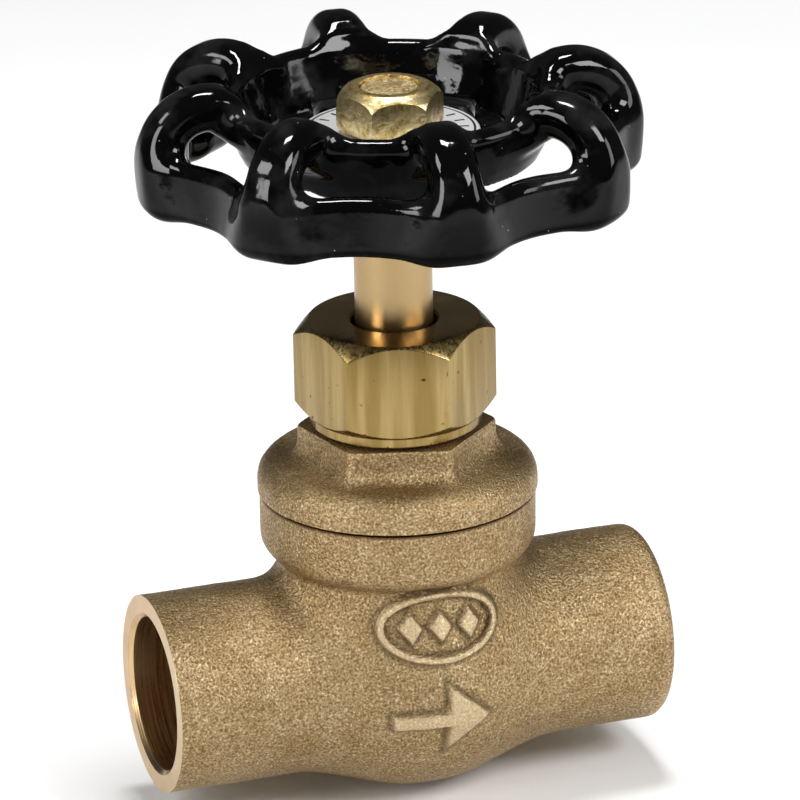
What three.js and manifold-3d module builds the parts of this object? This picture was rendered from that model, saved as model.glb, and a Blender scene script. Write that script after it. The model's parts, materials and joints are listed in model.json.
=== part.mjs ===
// A half-inch solder-end stop valve: a cast body with a bridge wall and a seat, a screwed
// bonnet, a rising threaded stem with a rubber-faced disc, a packed gland and a handwheel.
//
// Millimetres, +Z up. The origin is where the pipe's axis (X) meets the stem's axis (Z).
// Water enters at the -X socket, rises through the seat and leaves by the +X socket. The
// valve is drawn fully open.

import * as THREE from 'three';
import { mergeVertices } from 'three/addons/utils/BufferGeometryUtils.js';
import Module from 'manifold-3d';

const wasm = await Module();
wasm.setup();

// ---------------------------------------------------------------- driving dimensions

const GAP = 0.3; // kept between pieces that bear on each other
const FINE = 36; // sides of a large turned surface
const COARSE = 24; // sides of a small turned surface
const BEYOND = 40; // reach of a cutting tool past the piece that it cuts

const THREAD = {
  pitch: 2.54,
  minorRadius: 4.1,
  majorRadius: 5.2,
  rootWidth: 1.3,
  crestWidth: 0.7,
  stepsPerTurn: 16,
};
const TURNS_TO_CLOSE = 2.5;
const LIFT = THREAD.pitch * TURNS_TO_CLOSE;

const BODY = {
  length: 54,
  socketRadius: 10.25,
  socketBore: 8.0,
  socketDepth: 12.7,
  waterway: 6.9,
  bellyRadius: 13.4,
  bellyShift: 1,
  bellyFillet: 12,
  outletRound: 1,
  neckRadius: 12.2,
  flangeRadius: 14.2,
  flangeLow: 12,
  flangeFull: 15.4,
  flangeTop: 19,
  bowl: new THREE.Vector3(14, 10.2, 9.6),
  bonnetBore: 10.1,
  bonnetBoreFloor: 8.5,
  risingWayBottom: 5,
  seatBore: 5.2,
  seatLand: 6.3,
  deckTop: -0.6,
  deckUnderside: -2.4,
  bridgeReach: 7.4,
  bridgeWall: 2,
  gasketRecessRadius: 12.6,
  gasketRecessDepth: 0.9,
  markHeight: 0.45,
};

const BONNET = {
  skirtRadius: 9.8,
  skirtBottom: 9.3,
  chamberRadius: 7.4,
  chamberTop: 13.35,
  flangeRadius: 14.45,
  shoulderRound: 2.3,
  flangeTop: 22.8,
  hexTop: 26.2,
  stemHole: 4.3,
  threadTop: 24.6,
  boxFloor: 25.3,
  boxBore: 6.1,
  boxRadius: 7.6,
  boxTop: 33.2,
};

const HEX = { acrossFlats: 18, corner: 43 }; // bonnet and packing nut, first corner in degrees

const PACKING_NUT = {
  bottom: 26.5,
  top: 37.5,
  topCircle: 8.77,
  topChamfer: 1.55,
  bandRadius: 8.8,
  bandHeight: 1,
  bottomChamfer: 1.2,
  cavityRadius: 7.9,
  cavityTop: 34.8,
  stemHole: 4.4,
};

const STEM = {
  shankRadius: 4.0,
  buttonRadius: 3.2,
  buttonThickness: 0.9,
  neckRadius: 2.2,
  threadTop: 24.3,
  shoulder: 51.5,
  squareAcross: 6.2,
  squareTop: 57.1,
  tipRadius: 3.1,
  top: 62.3,
};

const DISC = {
  holderRadius: 6.9,
  washerRadius: 6.2,
  washerThickness: 2.4,
  rimDrop: 1.2,
  webThickness: 1,
  topWeb: 1.1,
  screwRadius: 1.7,
  screwHeadRadius: 3.2,
  screwHeadHeight: 1.3,
};

const PACKING = { ringThickness: 1.5, ringRadius: 5.8, washerThickness: 0.8, glandFlange: 7.3 };

const WHEEL = {
  arms: 8,
  firstArm: -3.4, // degrees from +X
  hubRadius: 6.4,
  hubBottom: 51.8,
  hubTop: 56.9,
  floorBottom: 54.1,
  floorTop: 55.6,
  cupFloorRadius: 13.8,
  cupInside: [[13.6, 55.6], [14.3, 56.2], [14.8, 58], [15, 60.8]], // radius and height
  cupOutside: [[17.1, 60.8], [17, 59], [16.5, 56.9], [15.5, 55.1], [14.3, 54.1], [13.6, 54.1]],
  ringRadius: 16.05,
  ringTube: 1.25,
  ringHeight: 60.85,
  skirtBottom: 52,
  skirtTop: 57.8,
  skirtWall: 2.4,
  lobeRadius: 26.65,
  waistRadius: 22.9,
  armWidth: 5.6,
  armThickness: 4.2,
  archRadius: 5, // of the arm's middle line, about archMiddle and archHeight
  archMiddle: 19.1,
  archHeight: 57.3,
  archSpan: 100, // degrees, from the skirt to the far side of the hump
  armEnd: [[15.2, 61.9], [16.5, 59.6]], // where the arm dies into the ring
  slots: 3,
  firstSlot: 69, // degrees from +X to the middle of a slot in the cup's floor
  slotSpan: 86,
  slotInner: 8.4,
  slotOuter: 13.3,
};

const PLATE = { radius: 9.1, thickness: 0.5, bottom: 57.2 };
const WHEEL_NUT = { acrossFlats: 9.6, corner: 52, bottom: 58, top: 62.4, topCircle: 4.2, chamfer: 0.9 };

// ---------------------------------------------------------------- materials

function finish(color, roughness, metalness) {
  return new THREE.MeshStandardMaterial({ color, roughness, metalness });
}

const castBrass = finish(0xa58c64, 0.55, 1);
const turnedBrass = finish(0xc2a265, 0.3, 1);
const drawnBrass = finish(0xb4975a, 0.35, 1);
const blackEnamel = finish(0x0b0b0c, 0.12, 0);
const yellowZinc = finish(0x9c8240, 0.3, 1);
const silverPlate = finish(0xc9cbcc, 0.35, 1);
const blackRubber = finish(0x1b1b1c, 0.7, 0);
const graphiteCord = finish(0x3b3c3f, 0.6, 0);
const gasketFibre = finish(0x6b3a2a, 0.8, 0);

// ---------------------------------------------------------------- shape helpers

// Turns any closed geometry into a solid whose faces point out.
function solid(geometry) {
  const bare = geometry.index ? geometry.clone() : geometry;
  for (const extra of ['normal', 'uv']) bare.deleteAttribute(extra);
  const merged = mergeVertices(bare);
  const vertices = merged.attributes.position.array;
  const corners = merged.index.array;
  const kept = [];
  let volume = 0;
  for (let i = 0; i < corners.length; i += 3) {
    const [a, b, c] = [corners[i], corners[i + 1], corners[i + 2]];
    if (a === b || b === c || c === a) continue;
    kept.push([a, b, c]);
    const [p, q, r] = [a, b, c].map((n) => new THREE.Vector3().fromArray(vertices, 3 * n));
    volume += p.dot(q.cross(r));
  }
  const outward = volume > 0 ? kept : kept.map(([a, b, c]) => [a, c, b]);
  const mesh = new wasm.Mesh({
    numProp: 3,
    vertProperties: new Float32Array(vertices),
    triVerts: new Uint32Array(outward.flat()),
  });
  return new wasm.Manifold(mesh);
}

// Turns a profile of [radius, height] points about Z.
function turned(profile, sides = FINE) {
  const points = profile.map(([radius, height]) => new THREE.Vector2(radius, height));
  return new THREE.LatheGeometry(points, sides).rotateX(Math.PI / 2);
}

function cylinder(radius, bottom, top, sides = FINE) {
  return solid(turned([[0, bottom], [radius, bottom], [radius, top], [0, top]], sides));
}

function ring(inner, outer, bottom, top, sides = FINE) {
  const profile = [[inner, bottom], [outer, bottom], [outer, top], [inner, top], [inner, bottom]];
  return solid(turned(profile, sides));
}

function cylinderAlongX(radius, start, end, sides = FINE) {
  const geometry = turned([[0, start], [radius, start], [radius, end], [0, end]], sides);
  return solid(geometry.rotateY(Math.PI / 2));
}

function box([x0, x1], [y0, y1], [z0, z1]) {
  const geometry = new THREE.BoxGeometry(x1 - x0, y1 - y0, z1 - z0);
  return solid(geometry.translate((x0 + x1) / 2, (y0 + y1) / 2, (z0 + z1) / 2));
}

function onCircle(radius, degrees) {
  const angle = THREE.MathUtils.degToRad(degrees);
  return new THREE.Vector2(radius * Math.cos(angle), radius * Math.sin(angle));
}

function extruded(shape, depth) {
  return new THREE.ExtrudeGeometry(shape, { depth, bevelEnabled: false, curveSegments: 10 });
}

function polygonPrism(sides, acrossFlats, firstCorner, bottom, top) {
  const radius = acrossFlats / 2 / Math.cos(Math.PI / sides);
  const corners = [];
  for (let i = 0; i < sides; i += 1) corners.push(onCircle(radius, firstCorner + (i * 360) / sides));
  return solid(extruded(new THREE.Shape(corners), top - bottom).translate(0, 0, bottom));
}

function union(...solids) {
  return solids.reduce((sum, next) => sum.add(next));
}

function cut(base, ...tools) {
  return tools.reduce((rest, tool) => rest.subtract(tool), base);
}

// A right-hand trapezoidal ridge wound about Z, with its root sunk in the core.
function helicalRidge(rootRadius, crestRadius, rootWidth, crestWidth, bottom, top) {
  const { pitch, stepsPerTurn } = THREAD;
  const steps = Math.ceil(((top - bottom) / pitch + 2) * stepsPerTurn);
  const section = [
    [rootRadius, -rootWidth / 2],
    [crestRadius, -crestWidth / 2],
    [crestRadius, crestWidth / 2],
    [rootRadius, rootWidth / 2],
  ];
  const positions = [];
  const indices = [];
  for (let step = 0; step <= steps; step += 1) {
    const turn = step / stepsPerTurn;
    const angle = 2 * Math.PI * turn;
    const height = pitch * (Math.floor(bottom / pitch) - 1 + turn);
    for (const [radius, offset] of section) {
      positions.push(radius * Math.cos(angle), radius * Math.sin(angle), height + offset);
    }
  }
  const count = section.length;
  for (let step = 0; step < steps; step += 1) {
    for (let side = 0; side < count; side += 1) {
      const a = step * count + side;
      const b = step * count + ((side + 1) % count);
      indices.push(a, b, b + count, a, b + count, a + count);
    }
  }
  const last = steps * count;
  indices.push(0, 2, 1, 0, 3, 2, last, last + 1, last + 2, last, last + 2, last + 3);
  const geometry = new THREE.BufferGeometry();
  geometry.setAttribute('position', new THREE.Float32BufferAttribute(positions, 3));
  geometry.setIndex(indices);
  return solid(geometry);
}

// The screw of the stem, or the tool that taps the bonnet when slack is above zero.
function screw(bottom, top, slack = 0) {
  const ridge = helicalRidge(
    THREAD.minorRadius - 0.4,
    THREAD.majorRadius + slack,
    THREAD.rootWidth + 2 * slack,
    THREAD.crestWidth + 2 * slack,
    bottom,
    top,
  );
  const length = cylinder(THREAD.majorRadius + 2 * slack + 1, bottom, top);
  const core = cylinder(THREAD.minorRadius + slack, bottom, top, THREAD.stepsPerTurn * 2);
  return core.add(ridge.intersect(length));
}

const root = new THREE.Group();

function place(name, shape, material) {
  const { vertProperties, triVerts } = shape.getMesh();
  const geometry = new THREE.BufferGeometry();
  geometry.setAttribute('position', new THREE.BufferAttribute(new Float32Array(vertProperties), 3));
  geometry.setIndex(new THREE.BufferAttribute(new Uint32Array(triVerts), 1));
  geometry.computeVertexNormals();
  const mesh = new THREE.Mesh(geometry, material);
  mesh.name = name;
  root.add(mesh);
}

// ---------------------------------------------------------------- body

// Radius of the body about the pipe's axis: two sockets that sweep into a round belly.
function barrelRadius(x) {
  const { bellyRadius, bellyShift, bellyFillet, socketRadius } = BODY;
  const reach = Math.sqrt((bellyRadius + bellyFillet) ** 2 - (socketRadius + bellyFillet) ** 2);
  const tangent = (bellyRadius * reach) / (bellyRadius + bellyFillet);
  const distance = Math.abs(x - bellyShift);
  if (distance < tangent) return Math.sqrt(bellyRadius ** 2 - distance ** 2);
  if (distance >= reach) return socketRadius;
  return socketRadius + bellyFillet - Math.sqrt(bellyFillet ** 2 - (reach - distance) ** 2);
}

function barrel(extra) {
  const half = BODY.length / 2;
  const sweep = 14;
  const steps = 20;
  const profile = [[0, -half], [BODY.socketRadius + extra, -half]];
  for (let i = 0; i <= steps; i += 1) {
    const x = BODY.bellyShift + sweep * ((2 * i) / steps - 1);
    profile.push([barrelRadius(x) + extra, x]);
  }
  for (let degrees = 0; degrees <= 90; degrees += 30) {
    const corner = onCircle(BODY.outletRound, degrees);
    const inset = BODY.socketRadius - BODY.outletRound;
    profile.push([inset + corner.x + extra, half - BODY.outletRound + corner.y]);
  }
  profile.push([0, half]);
  return solid(turned(profile).rotateY(Math.PI / 2));
}

function neck(extra) {
  const { neckRadius, flangeRadius, flangeLow, flangeFull, flangeTop } = BODY;
  const flare = 3;
  const profile = [[0, 0], [neckRadius + extra, 0], [neckRadius + extra, flangeLow]];
  for (let i = 1; i <= flare; i += 1) {
    const angle = ((i / flare) * Math.PI) / 2;
    const radius = neckRadius + (flangeRadius - neckRadius) * Math.sin(angle);
    profile.push([radius + extra, flangeLow + (flangeFull - flangeLow) * (1 - Math.cos(angle))]);
  }
  profile.push([flangeRadius + extra, flangeTop], [0, flangeTop]);
  return solid(turned(profile));
}

function lozenge(x, z, width, height) {
  const half = { x: width / 2, z: height / 2 };
  return new THREE.Shape([
    new THREE.Vector2(x - half.x, z),
    new THREE.Vector2(x, z - half.z),
    new THREE.Vector2(x + half.x, z),
    new THREE.Vector2(x, z + half.z),
  ]);
}

// Raised marks on the -Y side: an oval ring with three lozenges, and an arrow along the flow.
function castMarks() {
  const oval = { z: 8.3, width: 12.9, height: 7.5, line: 0.8 };
  const badge = new THREE.Shape();
  badge.absellipse(0, oval.z, oval.width / 2, oval.height / 2, 0, 2 * Math.PI);
  const inside = new THREE.Path();
  inside.absellipse(0, oval.z, oval.width / 2 - oval.line, oval.height / 2 - oval.line, 0, 2 * Math.PI);
  badge.holes.push(inside);
  const lozenges = [-3.2, 0, 3.2].map((x) => lozenge(x, oval.z, 2.6, 3.6));

  const arrow = { z: -1.9, tail: -4.9, neck: 0.6, tip: 5, shaft: 1.1, head: 3.6 };
  const flow = new THREE.Shape([
    new THREE.Vector2(arrow.tail, arrow.z - arrow.shaft),
    new THREE.Vector2(arrow.neck, arrow.z - arrow.shaft),
    new THREE.Vector2(arrow.neck, arrow.z - arrow.head),
    new THREE.Vector2(arrow.tip, arrow.z),
    new THREE.Vector2(arrow.neck, arrow.z + arrow.head),
    new THREE.Vector2(arrow.neck, arrow.z + arrow.shaft),
    new THREE.Vector2(arrow.tail, arrow.z + arrow.shaft),
  ]);
  const depth = 2 * BODY.bellyRadius;
  const prisms = [badge, ...lozenges, flow].map((shape) => {
    return solid(extruded(shape, depth).rotateX(Math.PI / 2));
  });
  const nearSide = box([-BEYOND, BEYOND], [-BEYOND, -BODY.neckRadius / 2], [-BEYOND, BEYOND]);
  const skin = union(barrel(BODY.markHeight), neck(BODY.markHeight)).intersect(nearSide);
  return union(...prisms).intersect(skin);
}

function bowl(centreZ) {
  const geometry = new THREE.SphereGeometry(1, COARSE, COARSE / 2);
  const { x, y, z } = BODY.bowl;
  return solid(geometry.scale(x, y, z).translate(BODY.bellyShift, 0, centreZ));
}

// The water space below the seat, open to the inlet, and the one above it, open to the outlet.
function waterSpaces() {
  const half = BODY.length / 2;
  const { bridgeReach, bridgeWall, deckTop, deckUnderside, waterway, seatBore } = BODY;
  const everyY = [-BEYOND, BEYOND];
  const below = box([-BEYOND, bridgeReach], everyY, [-BEYOND, deckUnderside]);
  const above = box([-bridgeReach, BEYOND], everyY, [deckTop, BEYOND]);
  return [
    cylinderAlongX(waterway, -half - 1, -bridgeReach - bridgeWall),
    bowl(-1).intersect(below),
    cylinder(seatBore, deckUnderside - 1, 1, COARSE),
    cylinderAlongX(waterway, bridgeReach + bridgeWall, half + 1),
    bowl(1).intersect(above),
    cylinder(bridgeReach, BODY.risingWayBottom, BODY.bonnetBoreFloor + 1),
  ];
}

function solderSocket(side) {
  const mouth = (side * BODY.length) / 2;
  const floor = mouth - side * BODY.socketDepth;
  const beyond = mouth + side;
  const bevel = 0.5;
  const bore = cylinderAlongX(BODY.socketBore, Math.min(floor, beyond), Math.max(floor, beyond));
  const profile = [[0, mouth - side * bevel], [BODY.socketBore, mouth - side * bevel]];
  profile.push([BODY.socketBore + 3 * bevel, mouth + side * 2 * bevel], [0, mouth + side * 2 * bevel]);
  return bore.add(solid(turned(profile).rotateY(Math.PI / 2)));
}

function body() {
  const shell = union(barrel(0), neck(0), castMarks());
  const seat = ring(BODY.seatBore, BODY.seatLand, BODY.deckUnderside + 0.5, 0, COARSE);
  const top = BODY.flangeTop;
  const hollow = cut(
    shell,
    ...waterSpaces(),
    solderSocket(-1),
    solderSocket(1),
    cylinder(BODY.bonnetBore, BODY.bonnetBoreFloor, top + 1),
    cylinder(BODY.gasketRecessRadius, top - BODY.gasketRecessDepth, top + 1),
  );
  return hollow.add(seat);
}

// ---------------------------------------------------------------- bonnet and packing

function bonnet() {
  const { flangeRadius, flangeTop, shoulderRound, skirtRadius, skirtBottom } = BONNET;
  const underside = BODY.flangeTop + GAP;
  const edge = 0.3;
  const profile = [[0, skirtBottom], [skirtRadius - 1, skirtBottom], [skirtRadius, skirtBottom + 1]];
  profile.push([skirtRadius, underside], [flangeRadius - edge, underside]);
  profile.push([flangeRadius, underside + edge]);
  for (let degrees = 0; degrees <= 90; degrees += 18) {
    const round = onCircle(shoulderRound, degrees);
    const [across, up] = [flangeRadius - shoulderRound, flangeTop - shoulderRound];
    profile.push([across + round.x, up + round.y]);
  }
  profile.push([0, flangeTop]);
  const hex = polygonPrism(6, HEX.acrossFlats, HEX.corner, flangeTop - 1, BONNET.hexTop);
  const packingBox = cylinder(BONNET.boxRadius, flangeTop, BONNET.boxTop);
  return cut(
    union(solid(turned(profile)), hex, packingBox),
    cylinder(BONNET.chamberRadius, skirtBottom - 1, BONNET.chamberTop),
    screw(BONNET.chamberTop - 1, BONNET.threadTop, GAP),
    cylinder(BONNET.stemHole, BONNET.threadTop - 1, BONNET.boxTop, COARSE),
    cylinder(BONNET.boxBore, BONNET.boxFloor, BONNET.boxTop + 1),
  );
}

function bonnetGasket() {
  const bottom = BODY.flangeTop - BODY.gasketRecessDepth + GAP;
  return ring(BONNET.skirtRadius + GAP, BODY.gasketRecessRadius - GAP, bottom, BODY.flangeTop);
}

function packingNut() {
  const nut = PACKING_NUT;
  const tall = nut.top - nut.topChamfer;
  const low = nut.bottom + nut.bandHeight;
  const cornerRadius = HEX.acrossFlats / Math.sqrt(3);
  const envelope = [[0, nut.bottom], [nut.bandRadius, nut.bottom], [nut.bandRadius, low]];
  envelope.push([cornerRadius, low + nut.bottomChamfer], [cornerRadius, tall]);
  envelope.push([nut.topCircle, nut.top], [0, nut.top]);
  const hex = polygonPrism(6, HEX.acrossFlats, HEX.corner, nut.bottom, nut.top);
  return cut(
    hex.intersect(solid(turned(envelope))),
    cylinder(nut.cavityRadius, nut.bottom - 1, nut.cavityTop),
    cylinder(nut.stemHole, nut.bottom, nut.top + 1, COARSE),
  );
}

// The packing stack: a washer on the box's floor, three rings, and the gland that presses them.
function packingStack() {
  const inner = BONNET.stemHole;
  const { ringRadius, ringThickness, washerThickness, glandFlange } = PACKING;
  let floor = BONNET.boxFloor + GAP;
  place('packing_washer', ring(inner, ringRadius, floor, floor + washerThickness, COARSE), drawnBrass);
  floor += washerThickness + GAP;
  for (const level of ['lower', 'middle', 'upper']) {
    const packing = ring(inner, ringRadius, floor, floor + ringThickness, COARSE);
    place(`packing_ring_${level}`, packing, graphiteCord);
    floor += ringThickness + GAP;
  }
  const flangeBottom = BONNET.boxTop + GAP;
  const sleeve = ring(inner, ringRadius, floor, flangeBottom + 0.2, COARSE);
  const flange = ring(inner, glandFlange, flangeBottom, PACKING_NUT.cavityTop - GAP, COARSE);
  place('packing_gland', sleeve.add(flange), turnedBrass);
}

// ---------------------------------------------------------------- stem and disc

const washerBottom = LIFT + GAP;
const recessTop = washerBottom + DISC.washerThickness + GAP;
const slotFloor = recessTop + DISC.webThickness;
const slotTop = slotFloor + STEM.buttonThickness + 2 * GAP;
const holderTop = slotTop + DISC.topWeb;

function stem() {
  const button = slotFloor + GAP;
  const { neckRadius, shankRadius, tipRadius, shoulder, squareTop, top } = STEM;
  const bevel = 0.35;
  const threadBottom = holderTop + GAP;
  const shank = [[0, STEM.threadTop - 1], [shankRadius, STEM.threadTop - 1]];
  shank.push([shankRadius, shoulder - bevel], [shankRadius - bevel, shoulder], [0, shoulder]);
  const square = polygonPrism(4, STEM.squareAcross, WHEEL.firstArm, shoulder - 1, squareTop);
  const tip = [[0, squareTop - 1], [tipRadius, squareTop - 1], [tipRadius, top - bevel]];
  tip.push([tipRadius - bevel, top], [0, top]);
  return union(
    cylinder(STEM.buttonRadius, button, button + STEM.buttonThickness, COARSE),
    cylinder(neckRadius, button, threadBottom + 1, COARSE),
    screw(threadBottom, STEM.threadTop),
    solid(turned(shank, COARSE)),
    square.intersect(cylinder(shankRadius - bevel, shoulder - 1, squareTop, COARSE)),
    solid(turned(tip, COARSE)),
  );
}

// The holder hangs on the stem's button by a T slot open to +Y, so that it can swivel.
function discHolder() {
  const rim = washerBottom + DISC.rimDrop;
  const buttonSlot = STEM.buttonRadius + GAP;
  const neckSlot = STEM.neckRadius + GAP;
  const recess = DISC.washerRadius + GAP;
  return cut(
    cylinder(DISC.holderRadius, rim, holderTop),
    cylinder(recess, rim - 1, recessTop, COARSE),
    cylinder(DISC.screwRadius + GAP, rim, slotFloor + GAP, COARSE),
    cylinder(buttonSlot, slotFloor, slotTop, COARSE),
    box([-buttonSlot, buttonSlot], [0, BEYOND], [slotFloor, slotTop]),
    cylinder(neckSlot, slotTop - GAP, holderTop + 1, COARSE),
    box([-neckSlot, neckSlot], [0, BEYOND], [slotTop - GAP, holderTop + 1]),
  );
}

function seatWasher() {
  const hole = DISC.screwRadius + GAP;
  return ring(hole, DISC.washerRadius, washerBottom, washerBottom + DISC.washerThickness, COARSE);
}

function washerScrew() {
  const { screwRadius, screwHeadRadius, screwHeadHeight } = DISC;
  const headTop = washerBottom - GAP;
  const headBottom = headTop - screwHeadHeight;
  const slot = { halfWidth: 0.45, depth: 0.6 };
  return cut(
    union(
      cylinder(screwHeadRadius, headBottom, headTop, COARSE),
      cylinder(screwRadius, headTop - 0.5, slotFloor - GAP, COARSE),
    ),
    box([-BEYOND, BEYOND], [-slot.halfWidth, slot.halfWidth], [headBottom - 1, headBottom + slot.depth]),
  );
}

// ---------------------------------------------------------------- handwheel

function wheelAngle(index) {
  return WHEEL.firstArm + (index * 360) / WHEEL.arms;
}

// One arm's outline in its own radial plane: a leg up from the skirt, then an arch over to the ring.
function armOutline() {
  const { archRadius, archMiddle, archHeight, archSpan, armThickness } = WHEEL;
  const foot = WHEEL.skirtBottom + 0.6;
  const outer = archRadius + armThickness / 2;
  const inner = archRadius - armThickness / 2;
  const steps = 10;
  const points = [new THREE.Vector2(archMiddle + outer, foot)];
  const add = (radius, step) => {
    const point = onCircle(radius, (archSpan * step) / steps);
    points.push(new THREE.Vector2(archMiddle + point.x, archHeight + point.y));
  };
  for (let i = 0; i <= steps; i += 1) add(outer, i);
  for (const [radius, height] of WHEEL.armEnd) points.push(new THREE.Vector2(radius, height));
  for (let i = steps; i >= 0; i -= 1) add(inner, i);
  points.push(new THREE.Vector2(archMiddle + inner, foot));
  return new THREE.Shape(points);
}

function arm(index) {
  const geometry = extruded(armOutline(), WHEEL.armWidth).translate(0, 0, -WHEEL.armWidth / 2);
  geometry.rotateX(Math.PI / 2);
  return solid(geometry.rotateZ(THREE.MathUtils.degToRad(wheelAngle(index))));
}

// The skirt is a wavy ring: full at each arm, drawn in between.
function skirt() {
  const steps = 64;
  const outline = (inset) => {
    const points = [];
    for (let i = 0; i < steps; i += 1) {
      const degrees = (i * 360) / steps;
      const wave = Math.cos(THREE.MathUtils.degToRad(WHEEL.arms * (degrees - WHEEL.firstArm)));
      const mean = (WHEEL.lobeRadius + WHEEL.waistRadius) / 2;
      points.push(onCircle(mean + ((WHEEL.lobeRadius - WHEEL.waistRadius) / 2) * wave - inset, degrees));
    }
    return points;
  };
  const shape = new THREE.Shape(outline(0));
  shape.holes.push(new THREE.Path(outline(WHEEL.skirtWall)));
  const depth = WHEEL.skirtTop - WHEEL.skirtBottom;
  return solid(extruded(shape, depth).translate(0, 0, WHEEL.skirtBottom));
}

function cupSlot(index) {
  const middle = WHEEL.firstSlot + (index * 360) / WHEEL.slots;
  const spread = (fraction) => middle + WHEEL.slotSpan * fraction;
  const steps = 10;
  const points = [];
  for (let i = 0; i <= steps; i += 1) points.push(onCircle(WHEEL.slotOuter, spread(i / steps - 0.5)));
  for (let i = steps; i >= 0; i -= 1) points.push(onCircle(WHEEL.slotInner, spread(i / steps - 0.5)));
  const depth = WHEEL.floorTop - WHEEL.floorBottom + 2;
  return solid(extruded(new THREE.Shape(points), depth).translate(0, 0, WHEEL.floorBottom - 1));
}

function handwheel() {
  const { cupFloorRadius, floorBottom, floorTop, ringRadius, ringHeight, ringTube } = WHEEL;
  const tube = [];
  for (let degrees = 0; degrees <= 360; degrees += 36) {
    const point = onCircle(ringTube, degrees);
    tube.push([ringRadius + point.x, ringHeight + point.y]);
  }
  const cup = [...WHEEL.cupInside, ...WHEEL.cupOutside, WHEEL.cupInside[0]];
  const floor = cylinder(cupFloorRadius, floorBottom, floorTop);
  const armNumbers = [...Array(WHEEL.arms).keys()];
  const slotNumbers = [...Array(WHEEL.slots).keys()];
  const rim = union(solid(turned(tube)), solid(turned(cup)), skirt(), ...armNumbers.map(arm));
  const hub = cylinder(WHEEL.hubRadius, WHEEL.hubBottom, WHEEL.hubTop);
  const across = STEM.squareAcross + 2 * GAP;
  const square = polygonPrism(4, across, WHEEL.firstArm, WHEEL.hubBottom - 1, WHEEL.hubTop + 1);
  const round = cylinder(STEM.shankRadius + GAP, WHEEL.hubBottom - 1, WHEEL.hubTop + 1, COARSE);
  const slotted = cut(floor, ...slotNumbers.map(cupSlot));
  return cut(union(rim, slotted, hub), square.intersect(round));
}

function identificationPlate() {
  return ring(STEM.tipRadius + GAP, PLATE.radius, PLATE.bottom, PLATE.bottom + PLATE.thickness);
}

function handwheelNut() {
  const { acrossFlats, corner, bottom, top, topCircle, chamfer } = WHEEL_NUT;
  const cornerRadius = acrossFlats / Math.sqrt(3);
  const envelope = [[0, bottom], [cornerRadius, bottom], [cornerRadius, top - chamfer]];
  envelope.push([topCircle, top], [0, top]);
  const hex = polygonPrism(6, acrossFlats, corner, bottom, top);
  const hole = cylinder(STEM.tipRadius + GAP, bottom - 1, top + 1, COARSE);
  return cut(hex.intersect(solid(turned(envelope, COARSE))), hole);
}

// ---------------------------------------------------------------- assembly

place('body', body(), castBrass);
place('bonnet', bonnet(), castBrass);
place('bonnet_gasket', bonnetGasket(), gasketFibre);
packingStack();
place('packing_nut', packingNut(), drawnBrass);
place('stem', stem(), turnedBrass);
place('disc_holder', discHolder(), turnedBrass);
place('seat_washer', seatWasher(), blackRubber);
place('washer_screw', washerScrew(), turnedBrass);
place('handwheel', handwheel(), blackEnamel);
place('identification_plate', identificationPlate(), silverPlate);
place('handwheel_nut', handwheelNut(), yellowZinc);

export default root;
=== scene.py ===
"""Looks of a half-inch solder-end stop valve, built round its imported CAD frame.

Shapes are worked out in millimetres, in the frame's own axes: X along the pipe, Z up the stem.
Castings are distance fields that are skinned into quads, and turned pieces are lathed.
"""

import json
import math

import bmesh
import bpy
import numpy as np
from mathutils import Matrix, Vector


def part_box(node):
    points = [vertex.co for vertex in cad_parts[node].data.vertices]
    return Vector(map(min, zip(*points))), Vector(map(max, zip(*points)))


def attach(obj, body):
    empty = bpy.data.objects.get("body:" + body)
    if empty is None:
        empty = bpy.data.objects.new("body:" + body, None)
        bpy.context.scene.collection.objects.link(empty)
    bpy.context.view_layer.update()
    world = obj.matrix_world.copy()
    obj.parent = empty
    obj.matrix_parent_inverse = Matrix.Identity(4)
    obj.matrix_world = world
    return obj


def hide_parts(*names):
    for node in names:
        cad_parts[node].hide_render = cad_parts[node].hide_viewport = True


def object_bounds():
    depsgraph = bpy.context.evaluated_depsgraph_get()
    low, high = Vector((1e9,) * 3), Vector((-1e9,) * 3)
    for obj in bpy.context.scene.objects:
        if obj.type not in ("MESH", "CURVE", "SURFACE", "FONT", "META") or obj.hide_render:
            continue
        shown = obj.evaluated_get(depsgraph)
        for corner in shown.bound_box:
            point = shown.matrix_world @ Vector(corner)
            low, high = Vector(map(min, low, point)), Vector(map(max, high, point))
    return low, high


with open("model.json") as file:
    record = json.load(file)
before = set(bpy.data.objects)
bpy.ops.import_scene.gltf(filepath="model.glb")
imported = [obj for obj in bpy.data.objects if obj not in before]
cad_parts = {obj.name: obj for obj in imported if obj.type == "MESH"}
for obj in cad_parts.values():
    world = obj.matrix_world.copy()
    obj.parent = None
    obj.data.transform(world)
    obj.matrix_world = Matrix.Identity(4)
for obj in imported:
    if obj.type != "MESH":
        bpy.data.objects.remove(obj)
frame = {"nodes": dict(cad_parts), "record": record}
cad_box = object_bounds()

MM = 0.001


def cad_mm(node):
    """Lowest and highest corner of a CAD node, in millimetres."""
    low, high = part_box(node)
    return [value / MM for value in low], [value / MM for value in high]


# ---------------------------------------------------------------- sizes taken from the frame

BODY_HIGH = cad_mm("body")[1]
NUT_LOW, NUT_HIGH = cad_mm("packing_nut")
WHEEL_LOW, WHEEL_HIGH = cad_mm("handwheel")
PLATE_LOW, PLATE_HIGH = cad_mm("identification_plate")
CAP_LOW, CAP_HIGH = cad_mm("handwheel_nut")
STEM_HIGH = cad_mm("stem")[1]

HALF_LENGTH = BODY_HIGH[0]
JOINT = BODY_HIGH[2]  # the body's machined top


# ---------------------------------------------------------------- sizes in millimetres and degrees

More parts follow.
